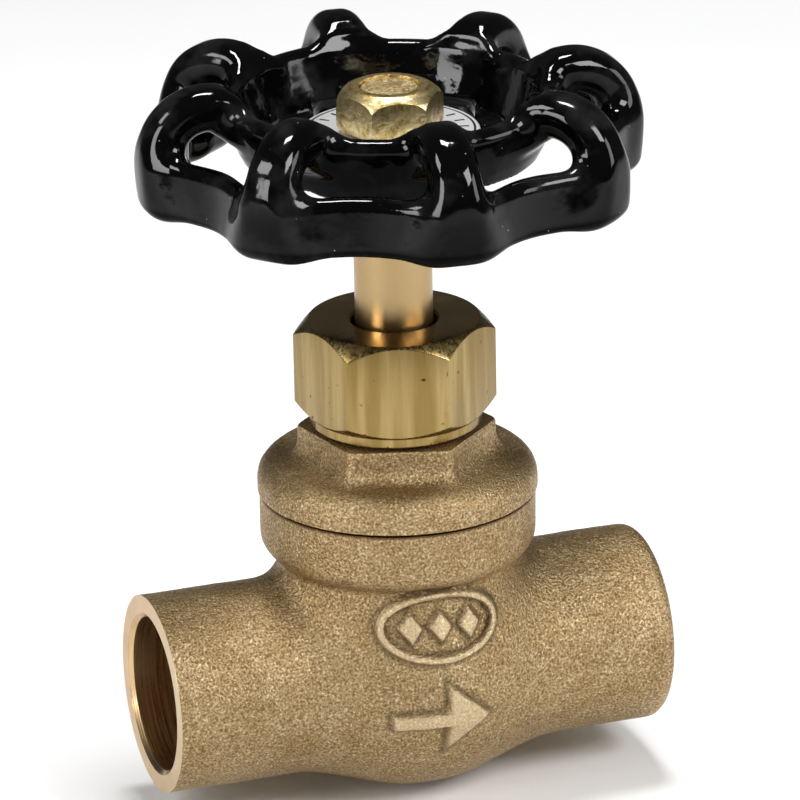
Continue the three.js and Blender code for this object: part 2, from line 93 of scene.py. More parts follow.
BEYOND = 30.0  # further out than any part of the valve
SOCKET = 10.25  # radii, here and below
BORE = 8.0
SOCKET_DEPTH = 12.7
WATERWAY = 6.9
BELLY = 13.3
BELLY_X = 1.0
BELLY_FILLET = 5.0
NECK = 12.1
NECK_FILLET = 3.6
BODY_FLANGE = 14.2
BODY_FLANGE_HALF = 6.6  # heights of the two flanges on each side of their middle
BONNET_FLANGE = 14.4
BONNET_FLANGE_HALF = 3.75
FLANGE_MIDDLE = 19.0
DECK_LOW, DECK_TOP = -2.4, -0.6  # the bridge wall's level part, with the seat
SEAT_BORE, SEAT_LAND = 5.2, 6.3
BRIDGE_REACH = 7.4
BRIDGE_WALL = 2.0
BOWL = (14.0, 10.2, 9.6)
BOWL_OFFSET = 1.0
BONNET_BORE, BONNET_BORE_FLOOR = 10.1, 8.5
RISING_WAY = (5.0, 10.0)  # lowest and highest level of the disc's way up
RECESS, RECESS_DEPTH = 12.6, 0.9
HEX_HALF = 8.95
HEX_CORNER = 43.0  # degrees from +X
HEX_TOP = 26.2
PACKING_HEX_HALF = 8.98
WHEEL_NUT_HALF = 4.78
WHEEL_NUT_CORNER = 52.0  # degrees from +X
SHANK = 4.0
SHOULDER = 51.5
SQUARE_TOP = 57.1
TIP = 3.05
RELIEF = 0.7  # height of the cast marks
CAST_STEP = 0.28  # grid of the castings and of the enamelled wheel
ENAMEL_STEP = 0.3

ARMS = 8
FIRST_ARM = -3.4  # degrees from +X
ARCH_MIDDLE, ARCH_HEIGHT, ARCH_RADIUS = 19.1, 57.2, 4.85  # of each arm's hump, in its own plane
ARCH_SPAN = 100.0  # degrees
ARCH_LEAN = 1.4  # how far the leg's foot stands inside its top
ARM_END = (16.2, 60.6)  # out from the stem and up
SKIRT_LOW, SKIRT_TOP = 52.0, 57.9
SKIRT_HALF = 1.15
SKIRT_WAIST, SKIRT_WAVE = 21.75, 2.6  # middle of the wall between arms, and how far it swings out
WHEEL_REACH = 26.36
RIM_INSIDE = 15.75
SLOTS, FIRST_SLOT, SLOT_SPAN = 3, 69.0, 88.0  # count and degrees
SLOT_MIDDLE, SLOT_HALF, SLOT_TOP = 11.6, 3.2, 56.6
HUB, HUB_MIDDLE, HUB_HALF = 6.4, 54.35, 2.5
CUP_WALL = (  # middle of the cup's wall, out from the stem and up
    (16.1, 60.85), (15.5, 59.0), (14.85, 57.2), (14.3, 55.9), (13.5, 55.05), (5.0, 54.9),
)
CUP_THICKNESS = (2.3, 2.15, 2.0, 1.8, 1.5, 1.5)

CAMERA_AZIMUTH = -18.857  # degrees, turned from looking along +Y


# ---------------------------------------------------------------- distance fields

def smooth_min(a, b, blend):
    """Union of two distances with a fillet about as wide as blend."""
    share = np.clip(0.5 + 0.5 * (b - a) / blend, 0.0, 1.0)
    return b + (a - b) * share - blend * share * (1.0 - share)


def smooth_max(a, b, blend):
    """What two distances share, with its edge rounded over about as wide as blend."""
    return -smooth_min(-a, -b, blend)


def rounded_rect(u, v, half_u, half_v, radius):
    """Distance in a plane to a rectangle about the origin with rounded corners."""
    over_u = np.abs(u) - half_u + radius
    over_v = np.abs(v) - half_v + radius
    outside = np.hypot(np.maximum(over_u, 0.0), np.maximum(over_v, 0.0))
    return outside + np.minimum(np.maximum(over_u, over_v), 0.0) - radius


def to_segment(u, v, start, end):
    """Distance in a plane to a segment, and how far along it the nearest point is."""
    run = (end[0] - start[0], end[1] - start[1])
    length = run[0] ** 2 + run[1] ** 2
    share = np.clip(((u - start[0]) * run[0] + (v - start[1]) * run[1]) / length, 0.0, 1.0)
    return np.hypot(u - start[0] - share * run[0], v - start[1] - share * run[1]), share


def value_noise(x, y, z, size, seed):
    """Smooth noise from -1 to 1, with features about as large as size."""
    count = 32  # cells before the noise repeats
    table = np.random.default_rng(seed).uniform(-1.0, 1.0, (count, count, count))
    cells, shares = [], []
    for value in (x, y, z):
        cell = np.floor(value / size)
        share = value / size - cell
        cells.append(cell.astype(int))
        shares.append(share * share * (3.0 - 2.0 * share))
    total = 0.0
    for corner in np.ndindex(2, 2, 2):
        weight = 1.0
        for share, step in zip(shares, corner):
            weight = weight * (share if step else 1.0 - share)
        where = tuple((cell + step) % count for cell, step in zip(cells, corner))
        total = total + weight * table[where]
    return total


def sand_skin(x, y, z, seed):
    """Fine and broad unevenness of a sand casting."""
    return 0.035 * value_noise(x, y, z, 1.1, seed) + 0.05 * value_noise(x, y, z, 4.0, seed + 1)


def gradient(field, points, reach=0.02):
    """How steeply a field rises along X, Y and Z at each point."""
    slope = np.zeros_like(points)
    for axis in range(3):
        shift = np.zeros(3)
        shift[axis] = reach
        ahead = field(*(points + shift).T)
        behind = field(*(points - shift).T)
        slope[:, axis] = (ahead - behind) / (2.0 * reach)
    return slope


def grid_skin(field, low, high, step):
    """One vertex for each grid cell that the surface crosses, and a quad round each crossed edge."""
    axes = [np.arange(start, end + step, step) for start, end in zip(low, high)]
    inside = np.empty([len(axis) for axis in axes], bool)
    flat = np.meshgrid(axes[1], axes[2], indexing="ij")
    for row, x in enumerate(axes[0]):
        inside[row] = field(np.full_like(flat[0], x), flat[0], flat[1]) < 0.0
    corners = sum(
        inside[i:len(axes[0]) - 1 + i, j:len(axes[1]) - 1 + j, k:len(axes[2]) - 1 + k].astype(np.int8)
        for i, j, k in np.ndindex(2, 2, 2)
    )
    crossed = (corners > 0) & (corners < 8)
    number = np.full(crossed.shape, -1, int)
    number[crossed] = np.arange(np.count_nonzero(crossed))
    places = np.argwhere(crossed)
    points = (places + 0.5) * step + np.array([axis[0] for axis in axes])
    quads = []
    for axis in range(3):
        across, up = (axis + 1) % 3, (axis + 2) % 3
        near = [slice(None)] * 3
        far = [slice(None)] * 3
        near[axis], far[axis] = slice(None, -1), slice(1, None)
        differs = np.argwhere(inside[tuple(near)] != inside[tuple(far)])
        leaves = inside[tuple(near)][tuple(differs.T)]
        corner_numbers = []
        for down_across, down_up in ((1, 1), (0, 1), (0, 0), (1, 0)):
            place = differs.copy()
            place[:, across] -= down_across
            place[:, up] -= down_up
            corner_numbers.append(number[tuple(place.T)])
        quad = np.stack(corner_numbers, 1)
        quads.append(np.where(leaves[:, None], quad, quad[:, ::-1]))
    return points, np.concatenate(quads)


def relax(points, quads):
    """Moves each vertex halfway to the mean of its neighbours."""
    total = np.zeros_like(points)
    count = np.zeros(len(points))
    for side in range(4):
        a, b = quads[:, side], quads[:, (side + 1) % 4]
        for axis in range(3):
            total[:, axis] += np.bincount(a, points[b, axis], len(points))
            total[:, axis] += np.bincount(b, points[a, axis], len(points))
        count += np.bincount(a, minlength=len(points)) + np.bincount(b, minlength=len(points))
    return 0.5 * points + 0.5 * total / count[:, None]


def field_mesh(name, field, low, high, step, rounds=4):
    """Skins a distance field and draws the vertices onto it, evenly spread."""
    points, quads = grid_skin(field, low, high, step)
    for turn in range(rounds):
        points = relax(points, quads) if turn else points
        slope = gradient(field, points)
        steepness = np.maximum((slope ** 2).sum(1), 0.2)
        move = (field(*points.T) / steepness)[:, None] * slope
        points = points - np.clip(move, -step, step)
    return mesh_object(name, points * MM, quads.tolist())


# ---------------------------------------------------------------- mesh helpers

def mesh_object(name, points, faces):
    """An object from points in metres and faces that list them."""
    mesh = bpy.data.meshes.new(name)
    mesh.from_pydata([tuple(point) for point in points], [], faces)
    mesh.update()
    made = bpy.data.objects.new(name, mesh)
    bpy.context.scene.collection.objects.link(made)
    return made


def lathe(name, profile, sides=96, axis="Z"):
    """Turns [radius, height] points about Z, or about X. The profile starts and ends on the axis,
    or comes back to its first point."""
    closed = profile[0] == profile[-1]
    ring = profile[:-1] if closed else profile
    maker = bmesh.new()
    columns = []
    for side in range(sides):
        angle = 2.0 * math.pi * side / sides
        column = []
        for radius, height in ring:
            point = Vector((radius * math.cos(angle), radius * math.sin(angle), height)) * MM
            column.append(maker.verts.new(point))
        columns.append(column)
    count = len(ring)
    for side in range(sides):
        here, there = columns[side], columns[(side + 1) % sides]
        for step in range(count if closed else count - 1):
            after = (step + 1) % count
            maker.faces.new((here[step], there[step], there[after], here[after]))
    bmesh.ops.remove_doubles(maker, verts=maker.verts, dist=1e-7)
    bmesh.ops.recalc_face_normals(maker, faces=maker.faces)
    if axis == "X":
        bmesh.ops.rotate(maker, verts=maker.verts, matrix=Matrix.Rotation(math.pi / 2, 3, "Y"))
    mesh = bpy.data.meshes.new(name)
    maker.to_mesh(mesh)
    maker.free()
    made = bpy.data.objects.new(name, mesh)
    bpy.context.scene.collection.objects.link(made)
    return made


def cylinder(name, radius, low, high):
    """A solid cylinder about Z."""
    return lathe(name, [(0.0, low), (radius, low), (radius, high), (0.0, high)])


def prism(name, corners, low, high):
    """A straight prism over a polygon of (x, y) corners."""
    count = len(corners)
    points = [(x * MM, y * MM, low * MM) for x, y in corners]
    points += [(x * MM, y * MM, high * MM) for x, y in corners]
    faces = [list(range(count))[::-1], list(range(count, 2 * count))]
    for side in range(count):
        after = (side + 1) % count
        faces.append([side, after, after + count, side + count])
    return mesh_object(name, points, faces)


def regular_corners(half, sides, first_corner):
    """Corners of a regular polygon that measures half from its centre to its flats."""
    radius = half / math.cos(math.pi / sides)
    angles = [math.radians(first_corner + side * 360.0 / sides) for side in range(sides)]
    return [(radius * math.cos(angle), radius * math.sin(angle)) for angle in angles]


def apply_modifiers(made):
    """Turns the object's modifiers into mesh."""
    depsgraph = bpy.context.evaluated_depsgraph_get()
    mesh = bpy.data.meshes.new_from_object(made.evaluated_get(depsgraph))
    made.modifiers.clear()
    made.data = mesh


def combine(made, tool, operation):
    """Joins, cuts or intersects with a tool, which is used up."""
    step = made.modifiers.new(operation.lower(), "BOOLEAN")
    step.operation = operation
    step.solver = "MANIFOLD"
    step.object = tool
    apply_modifiers(made)
    bpy.data.objects.remove(tool)


def cut(made, *tools):
    """Cuts each tool out of the piece in turn."""
    for tool in tools:
        combine(made, tool, "DIFFERENCE")


def bevel(made, width, segments=2, angle=30.0):
    """Rounds the edges that are sharper than an angle in degrees."""
    step = made.modifiers.new("bevel", "BEVEL")
    step.width = width * MM
    step.segments = segments
    step.limit_method = "ANGLE"
    step.angle_limit = math.radians(angle)
    apply_modifiers(made)


def finish_surface(made, sharp=32.0):
    """Shades the piece smooth, apart from edges sharper than an angle in degrees."""
    for polygon in made.data.polygons:
        polygon.use_smooth = True
    made.data.set_sharp_from_angle(angle=math.radians(sharp))


def stand_for(made, body, material, slot, *nodes):
    """Gives a finished piece its material, hangs it from its body's empty and hides the CAD nodes it
    replaces.
    """
    made.data.materials.clear()
    made.data.materials.append(material)
    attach(made, body)
    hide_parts(*nodes)


def refinish(made, material, chosen):
    """Gives a second material to the faces for which chosen(face) holds."""
    made.data.materials.append(material)
    for polygon in made.data.polygons:
        if chosen(polygon):
            polygon.material_index = 1


# ---------------------------------------------------------------- the valve body

def oval_badge(x, z):
    """Plane distance to the raised oval ring and its three lozenges."""
    height = z - 8.3
    size = (6.1, 3.4)  # half the oval's length and height
    scaled = np.hypot(x / size[0], height / size[1])
    steep = np.hypot(x / size[0] ** 2, height / size[1] ** 2) + 1e-6
    line = np.abs(scaled * (scaled - 1.0) / steep) - 0.42
    half = (1.25, 1.7)
    for centre in (-3.1, 0.0, 3.1):
        gem = np.abs(x - centre) * half[1] + np.abs(height) * half[0] - half[0] * half[1]
        line = np.minimum(line, gem / math.hypot(*half))
    return line


def flow_arrow(x, z):
    """Plane distance to the arrow that shows which way water flows."""
    height = np.abs(z + 1.6)
    shaft = rounded_rect(x + 2.2, height, 3.2, 0.85, 0.3)
    slant = 0.87  # radians
    head = np.maximum((x - 5.0) * math.cos(slant) + height * math.sin(slant), 0.4 - x)
    return np.minimum(shaft, head)


def marks(x, z):
    """Plane distance to all that is cast on the body's front."""
    return np.minimum(oval_badge(x, z), flow_arrow(x, z))


def shade_marks(made):
    """Stores how deep each point lies in the corner round a raised mark, which the material darkens as
    painted shade, and how far up it stands, which it lightens as a painted highlight.
    """
    count = len(made.data.vertices)
    places = np.empty(3 * count)
    made.data.vertices.foreach_get("co", places)
    x, y, z = places.reshape(-1, 3).T / MM
    front = (y < -9.0) & (z < 13.0)
    far_off = 9.0
    distance = np.where(front, marks(x, z), far_off)
    # corner: strength of the painted shade just outside each mark's edge
    corner = made.data.attributes.new("corner", "FLOAT", "POINT")
    corner.data.foreach_set("value", np.exp(-((distance - 0.2) / 0.3) ** 2))
    # crest: strength of the painted highlight on each mark's raised top
    crest = made.data.attributes.new("crest", "FLOAT", "POINT")
    crest.data.foreach_set("value", np.clip(0.4 - distance / 0.4, 0.0, 1.0))


def ellipsoid(x, y, z, half):
    """About the distance to an ellipsoid with these half axes."""
    scaled = np.sqrt((x / half[0]) ** 2 + (y / half[1]) ** 2 + (z / half[2]) ** 2)
    steep = np.sqrt((x / half[0] ** 2) ** 2 + (y / half[1] ** 2) ** 2 + (z / half[2] ** 2) ** 2)
    return scaled * (scaled - 1.0) / (steep + 1e-6)


def water_space(x, y, z):
    """The bowl under the seat, open to the inlet, and the one over it, open to the outlet."""
    about_x, about_z = np.hypot(y, z), np.hypot(x, y)
    low_bowl = ellipsoid(x - BELLY_X, y, z + BOWL_OFFSET, BOWL)
    high_bowl = ellipsoid(x - BELLY_X, y, z - BOWL_OFFSET, BOWL)
    under = np.maximum(np.maximum(low_bowl, z - DECK_LOW), x - BRIDGE_REACH)
    over = np.maximum(np.maximum(high_bowl, DECK_TOP - z), -x - BRIDGE_REACH)
    inlet = np.maximum(about_x - WATERWAY, x + BRIDGE_REACH + BRIDGE_WALL)
    outlet = np.maximum(about_x - WATERWAY, BRIDGE_REACH + BRIDGE_WALL - x)
    relief = np.maximum(np.maximum(about_z - BRIDGE_REACH, RISING_WAY[0] - z), z - RISING_WAY[1])
    lower = smooth_min(under, inlet, 1.0)
    upper = np.minimum(smooth_min(over, outlet, 1.0), relief)
    return np.minimum(lower, upper)


def body_field(x, y, z):
    """The body as cast: pipe, belly, neck, flange and marks, hollow inside. Its ends are left long."""
    about_x, about_z = np.hypot(y, z), np.hypot(x, y)
    pipe = about_x - SOCKET
    belly = np.sqrt((x - BELLY_X) ** 2 + y ** 2 + z ** 2) - (BELLY - 0.18)
    neck = np.maximum(about_z - NECK, -z)
    cast = smooth_min(smooth_min(pipe, belly, BELLY_FILLET), neck, NECK_FILLET)
    flange = rounded_rect(about_z, z - FLANGE_MIDDLE, BODY_FLANGE, BODY_FLANGE_HALF, 2.3)
    cast = smooth_min(cast, flange, 1.0)
    raised = np.clip(0.5 - marks(x, z) / 0.5, 0.0, 1.0)
    cast = cast - RELIEF * raised * raised * (3.0 - 2.0 * raised) * (y < -4.0)
    cast = cast + sand_skin(x, y, z, 3)
    cast = smooth_max(cast, x - HALF_LENGTH, 1.8)
    cast = np.maximum(cast, np.maximum(-x - HALF_LENGTH - 1.0, z - JOINT - 1.0))
    return smooth_max(cast, -water_space(x, y, z), 0.4)


def socket_tool(name, side):
    """Cuts a solder socket from its mouth to its shoulder, with a small bevel at the mouth."""
    mouth, floor = HALF_LENGTH, HALF_LENGTH - SOCKET_DEPTH
    bevelled = BORE + 0.5
    profile = [(0.0, floor), (BORE, floor), (BORE, mouth - 0.45), (bevelled, mouth + 0.05)]
    profile += [(bevelled, mouth + 3.0), (0.0, mouth + 3.0)]
    return lathe(name, [(radius, side * height) for radius, height in profile], axis="X")


def machined(face):
    """Whether a face of the body lies in a socket or on a mouth."""
    x, y, z = (value / MM for value in face.center)
    in_socket = math.hypot(y, z) < BORE + 0.6 and abs(x) > HALF_LENGTH - SOCKET_DEPTH - 0.1
    return in_socket or abs(x) > HALF_LENGTH - 0.05


def make_body(material, bored):
    """The body: cast, then faced, bored and given its seat."""
    low = (-HALF_LENGTH - 1.8, -BODY_FLANGE - 0.9, -BELLY - 0.9)
    high = (HALF_LENGTH + 0.9, BODY_FLANGE + 0.9, JOINT + 1.8)
    made = field_mesh("valve_body", body_field, low, high, CAST_STEP)
    outside, face = -HALF_LENGTH - 10.0, -HALF_LENGTH
    end = [(0.0, outside), (BEYOND, outside), (BEYOND, face), (0.0, face)]
    seat = [(SEAT_BORE, -2.0), (SEAT_LAND, -2.0), (SEAT_LAND, -0.15), (SEAT_LAND - 0.15, 0.0)]
    seat += [(SEAT_BORE + 0.15, 0.0), (SEAT_BORE, -0.15), (SEAT_BORE, -2.0)]
    above = JOINT + 5.0
    cut(
        made,
        lathe("end_tool", end, axis="X"),
        cylinder("top_tool", BEYOND, JOINT, above),
        socket_tool("inlet_tool", -1),
        socket_tool("outlet_tool", 1),
        cylinder("seat_tool", SEAT_BORE + 0.05, DECK_LOW - 1.0, DECK_TOP + 1.2),
        cylinder("bonnet_tool", BONNET_BORE, BONNET_BORE_FLOOR, above),
        cylinder("recess_tool", RECESS, JOINT - RECESS_DEPTH, above),
    )
    combine(made, lathe("seat", seat), "UNION")
    finish_surface(made)
    shade_marks(made)
    stand_for(made, "valve", material, "cast_brass", "body")
    refinish(made, bored, machined)


# ---------------------------------------------------------------- the bonnet

def bonnet_field(x, y, z):
    """The bonnet's outside above the joint: a round flange and a hexagon that grows out of it."""
    about_z = np.hypot(x, y)
    flange = rounded_rect(about_z, z - FLANGE_MIDDLE, BONNET_FLANGE, BONNET_FLANGE_HALF, 2.4)
    hexagon = np.full(np.shape(x), -1e3)
    for side in range(6):
        angle = math.radians(HEX_CORNER + 30.0 + 60.0 * side)
        flat = x * math.cos(angle) + y * math.sin(angle) - HEX_HALF
        hexagon = smooth_max(hexagon, flat, 0.5)
    hexagon = smooth_max(hexagon, z - HEX_TOP - 0.05, 0.5)
    hexagon = np.maximum(hexagon, JOINT - z)
    cast = smooth_min(flange, hexagon, 2.2)
    cast = cast + sand_skin(x, y, z, 5)
    return np.maximum(cast, JOINT - 1.0 - z)


def make_bonnet(material):
    """The bonnet: cast, faced at both ends, and given its packing box and the skirt that screws in."""
    reach = BONNET_FLANGE + 0.8
    low = (-reach, -reach, JOINT - 2.0)
    high = (reach, reach, HEX_TOP + 1.0)
    made = field_mesh("bonnet_casting", bonnet_field, low, high, CAST_STEP)
    under = JOINT + 0.3
    skirt_top = under + 1.0
    skirt = [(7.4, 9.3), (9.0, 9.3), (9.8, 10.1), (9.8, skirt_top), (7.4, skirt_top), (7.4, 9.3)]
    box = [(0.0, HEX_TOP - 2.0), (7.6, HEX_TOP - 2.0), (7.6, 32.9), (7.3, 33.2), (0.0, 33.2)]
    cut(
        made,
        cylinder("face_tool", BEYOND, JOINT - 5.0, under),
        cylinder("top_tool", BEYOND, HEX_TOP - 0.08, HEX_TOP + 5.0),
    )
    combine(made, lathe("packing_box", box), "UNION")
    combine(made, lathe("skirt", skirt), "UNION")
    cut(
        made,
        cylinder("chamber_tool", 7.4, 5.0, 13.35),
        cylinder("thread_tool", 5.5, 13.0, 24.6),
        cylinder("stem_tool", 4.3, 24.0, 30.0),
        cylinder("box_tool", 6.1, 25.3, 40.0),
    )
    finish_surface(made)
    stand_for(made, "valve", material, "cast_brass", "bonnet")


# ---------------------------------------------------------------- nuts and stem

def make_packing_nut(material, faced):
    """The cap nut: a hexagon with chamfered corners over a round foot, hollow below."""
    bottom, top = NUT_LOW[2], NUT_HIGH[2]
    corner = PACKING_HEX_HALF / math.cos(math.pi / 6) + 0.05
    envelope = [(0.0, bottom), (8.7, bottom), (8.8, bottom + 0.1), (8.8, bottom + 1.0)]
    envelope += [(corner, bottom + 2.25), (corner, top - 1.6), (8.77, top), (0.0, top)]
    corners = regular_corners(PACKING_HEX_HALF, 6, HEX_CORNER)
    made = prism("packing_hexagon", corners, bottom - 1, top + 1)
    combine(made, lathe("envelope", envelope, sides=160), "INTERSECT")
    hole = [(0.0, bottom - 1), (4.4, bottom - 1), (4.4, top - 0.25), (4.75, top + 0.1)]
    hole += [(4.75, top + 2), (0.0, top + 2)]
    cut(made, cylinder("cavity_tool", 7.9, bottom - 1, 34.8), lathe("hole_tool", hole))
    bevel(made, 0.12)
    finish_surface(made, 28.0)
    stand_for(made, "valve", material, "drawn_brass", "packing_nut")
    refinish(made, faced, lambda face: abs(face.normal.z) > 0.9)


def screw_ridge(name, low, high):
    """The stem's right-hand thread, a trapezoid wound about Z with its root inside the core."""
    pitch, steps_per_turn = 2.54, 48
    section = ((3.8, -0.65), (5.2, -0.35), (5.2, 0.35), (3.8, 0.65))
    sides = len(section)
    steps = int((high - low) / pitch * steps_per_turn)
    points, faces = [], []
    for step in range(steps + 1):
        angle = 2.0 * math.pi * step / steps_per_turn
        height = low + (high - low) * step / steps
        for radius, offset in section:
            x, y, z = radius * math.cos(angle), radius * math.sin(angle), height + offset
            points.append((x * MM, y * MM, z * MM))
    for step in range(steps):
        for side in range(sides):
            a, b = step * sides + side, step * sides + (side + 1) % sides
            faces.append((a, b, b + sides, a + sides))
    faces += [(3, 2, 1, 0), tuple(steps * sides + side for side in range(sides))]
    return mesh_object(name, points, faces)


def make_stem(material, end_material):
    """The stem: button, thread, bright shank, square drive and screwed tip."""
    button_low, button_top, button, link = 10.65, 11.55, 3.2, 2.2
    thread_low, thread_high, core = 13.3, 24.3, 4.1
    shank = [(0.0, button_low), (button, button_low), (button, button_top), (link, button_top)]
    shank += [(link, thread_low), (core, thread_low), (core, thread_high), (SHANK, thread_high)]
    shank += [(SHANK, SHOULDER - 0.4), (SHANK - 0.4, SHOULDER), (0.0, SHOULDER)]
    made = lathe("stem_shank", shank, sides=128)
    combine(made, screw_ridge("ridge", thread_low + 0.7, thread_high - 0.7), "UNION")
    square = prism("square", regular_corners(3.1, 4, FIRST_ARM), SHOULDER - 1.0, SQUARE_TOP)
    combine(square, cylinder("turning", 3.65, SHOULDER - 2.0, SQUARE_TOP + 1.0), "INTERSECT")
    combine(made, square, "UNION")
    top = STEM_HIGH[2]
    tip = [(0.0, SQUARE_TOP - 1.0), (TIP, SQUARE_TOP - 1.0)]
    height = SQUARE_TOP + 0.1
    groove = 0.6  # from one thread groove to the next
    while height < top - groove:
        tip += [(TIP - 0.3, height), (TIP, height + groove / 2)]
        height += groove
    tip += [(TIP, top - 0.35), (TIP - 0.25, top - 0.1), (2.2, top - 0.02), (0.0, top)]
    combine(made, lathe("tip", tip), "UNION")
    finish_surface(made, 30.0)
    stand_for(made, "spindle", material, "turned_brass", "stem")
    refinish(made, end_material, lambda face: face.center.z > (SHOULDER + 1.0) * MM)


def make_wheel_nut(material):
    """The small forged nut, its top domed towards the corners."""
    bottom, top = CAP_LOW[2], CAP_HIGH[2]
    corner = WHEEL_NUT_HALF / math.cos(math.pi / 6)
    envelope = [(0.0, bottom), (corner - 0.5, bottom), (corner + 0.02, bottom + 0.5)]
    envelope += [(corner + 0.02, top - 1.5), (corner - 0.35, top - 0.85), (corner - 1.0, top - 0.3)]
    envelope += [(corner - 1.7, top - 0.05), (3.9, top), (0.0, top)]
    corners = regular_corners(WHEEL_NUT_HALF, 6, WHEEL_NUT_CORNER)
    made = prism("nut_hexagon", corners, bottom - 1, top + 1)
    combine(made, lathe("envelope", envelope, sides=120), "INTERSECT")
    cut(made, cylinder("hole_tool", TIP + 0.1, bottom - 1, top + 1))
    bevel(made, 0.28, 3, 18.0)
    finish_surface(made, 40.0)
    stand_for(made, "spindle", material, "yellow_zinc", "handwheel_nut")


def make_plate(material):
    """The thin disc under the wheel's nut."""
    low, high, radius, hole = PLATE_LOW[2], PLATE_HIGH[2], PLATE_HIGH[0] - 0.02, 3.4
    profile = [(hole, low), (radius - 0.15, low), (radius, low + 0.12), (radius, high - 0.15)]
    profile += [(radius - 0.15, high), (hole, high), (hole, low)]
    made = lathe("name_disc", profile, sides=128)
    finish_surface(made, 30.0)
    stand_for(made, "spindle", material, "silver_plate", "identification_plate")


# ---------------------------------------------------------------- handwheel

def arm_distance(outward, sideways, z):
    """One arm: a leg from the skirt and a hump that slopes down to the ring, round in section."""
    across, rise = outward - ARCH_MIDDLE, z - ARCH_HEIGHT
    end = math.radians(ARCH_SPAN)
    turn = np.arctan2(rise, across)
    turn = np.where(turn < -1.9, turn + 2.0 * math.pi, turn)
    turn = np.clip(turn, 0.0, end)
    hump = np.hypot(across - ARCH_RADIUS * np.cos(turn), rise - ARCH_RADIUS * np.sin(turn))
    leg_top = (ARCH_MIDDLE + ARCH_RADIUS, ARCH_HEIGHT)
    leg_foot = (leg_top[0] - ARCH_LEAN, SKIRT_LOW + 2.6)
    crest = (ARCH_MIDDLE + ARCH_RADIUS * math.cos(end), ARCH_HEIGHT + ARCH_RADIUS * math.sin(end))
    spine = np.minimum(hump, to_segment(outward, z, leg_top, leg_foot)[0])
    spine = np.minimum(spine, to_segment(outward, z, crest, ARM_END)[0])
    spread = np.clip((ARCH_HEIGHT + 1.0 - z) / 6.0, 0.0, 1.0)
    spread = spread * spread * (3.0 - 2.0 * spread)
    inner = np.clip((18.4 - outward) / 2.4, 0.0, 1.0)
    half_width = 2.55 + 1.2 * spread + 1.0 * inner * inner
    return rounded_rect(spine, sideways, 2.25 + 0.75 * spread, half_width, 2.0)


def sector_angle(x, y, first, count):
    """Angle from the nearest of count directions about Z, the first at so many degrees from +X."""
    sector = 2.0 * math.pi / count
    angle = np.arctan2(y, x) - math.radians(first)
    return angle - sector * np.round(angle / sector)


def cup_distance(around, z):
    """The cup's wall and floor, thinner towards the floor."""
    dish = np.full(np.shape(z), 1e3)
    for step in range(len(CUP_WALL) - 1):
        gap, share = to_segment(around, z, CUP_WALL[step], CUP_WALL[step + 1])
        thickness = CUP_THICKNESS[step] + (CUP_THICKNESS[step + 1] - CUP_THICKNESS[step]) * share
        dish = np.minimum(dish, gap - 0.5 * thickness)
    return dish


def wheel_field(x, y, z):
    """The handwheel: arms and waved skirt outside, and the slotted cup and the hub inside."""
    around = np.hypot(x, y)
    local = sector_angle(x, y, FIRST_ARM, ARMS)
    arm = arm_distance(around * np.cos(local), around * np.sin(local), z)

    wave = 0.5 + 0.5 * np.cos(ARMS * local)
    middle, half = 0.5 * (SKIRT_LOW + SKIRT_TOP), 0.5 * (SKIRT_TOP - SKIRT_LOW)
    wall = SKIRT_WAIST + SKIRT_WAVE * wave - 0.10 * (z - middle)
    skirt = rounded_rect(around - wall, z - middle, SKIRT_HALF, half, SKIRT_HALF - 0.1)
    rim = smooth_min(arm, skirt, 2.6)
    rim = smooth_max(rim, RIM_INSIDE - around, 0.5)
    rim = smooth_max(rim, around - WHEEL_REACH, 0.3)

    along_slot = around * np.abs(sector_angle(x, y, FIRST_SLOT, SLOTS))
    slot_end = SLOT_MIDDLE * math.radians(SLOT_SPAN / 2.0)
    slot = rounded_rect(around - SLOT_MIDDLE, along_slot, SLOT_HALF, slot_end, 1.2)
    dish = smooth_max(cup_distance(around, z), -np.maximum(slot, z - SLOT_TOP), 0.5)
    hub = rounded_rect(around, z - HUB_MIDDLE, HUB, HUB_HALF, 0.6)
    wheel = smooth_min(smooth_min(dish, rim, 1.3), hub, 0.8)
    return wheel + 0.05 * value_noise(x, y, z, 3.0, 7)


def make_wheel(material):
    """The handwheel, with its square hole."""
    reach, bottom = WHEEL_HIGH[1] + 1.0, WHEEL_LOW[2]
    low = (-reach, -reach, bottom - 1.0)
    high = (reach, reach, WHEEL_HIGH[2] + 1.0)
    made = field_mesh("wheel_casting", wheel_field, low, high, ENAMEL_STEP)
    hole = prism("square_tool", regular_corners(3.4, 4, FIRST_ARM), bottom - 2.0, 60.0)
    combine(hole, cylinder("turning", 4.3, bottom - 3.0, 61.0), "INTERSECT")
    cut(made, hole)
    finish_surface(made, 60.0)
    stand_for(made, "spindle", material, "black_enamel", "handwheel")


# ---------------------------------------------------------------- materials

